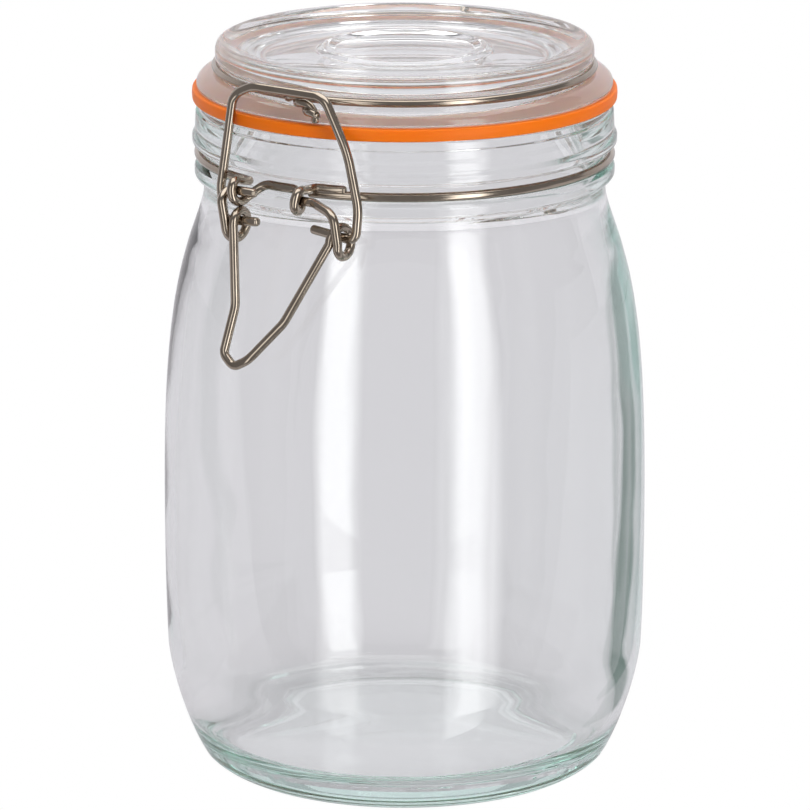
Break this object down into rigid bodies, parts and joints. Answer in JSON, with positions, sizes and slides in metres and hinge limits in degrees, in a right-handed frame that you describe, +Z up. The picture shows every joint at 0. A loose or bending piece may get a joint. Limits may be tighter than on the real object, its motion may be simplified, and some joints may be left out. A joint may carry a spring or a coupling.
{
  "type": "clip-top canning jar",
  "caption": "Clear glass canning jar, empty and shut, with a glass lid, orange rubber seal, neck wire and a bail latch worked by a V-shaped wire lever.",
  "frame": {"origin": "on the floor under the middle of the whole jar with its latch, which is 2.9 mm in front of the jar's own axis", "axes": "+Z up along the jar's axis, -Y towards the latch, +Y towards the lid's hinge, +X to the right when facing the latch"},
  "size_m": [0.1104, 0.1162, 0.1696],
  "materials": {
    "clear_glass": "smooth pressed and blown clear soda-lime glass, faintly green where it is thick",
    "orange_rubber": "smooth satin natural rubber, orange",
    "steel_wire": "drawn stainless steel wire, bright"
  },
  "bodies": {
    "jar": {"jar_glass": "clear_glass", "seal": "orange_rubber", "lid_glass": "clear_glass", "neck_wire": "steel_wire", "lid_wire": "steel_wire"},
    "lever": {"lever": "steel_wire"},
    "bail": {"bail": "steel_wire"}
  },
  "joints": [
    {"name": "lever_swing", "type": "hinge", "parent": "jar", "child": "lever", "pos_m": [0, -0.048, 0.1426], "axis": [-1, 0, 0], "range_deg": [0, 95]},
    {"name": "bail_swing", "type": "hinge", "parent": "lever", "child": "bail", "pos_m": [0, -0.0484, 0.1356], "axis": [-1, 0, 0], "range_deg": [-162, 0]}
  ],
  "couplings": [
    {"joint": "bail_swing", "follows": "lever_swing", "ratio": -1.7}
  ]
}
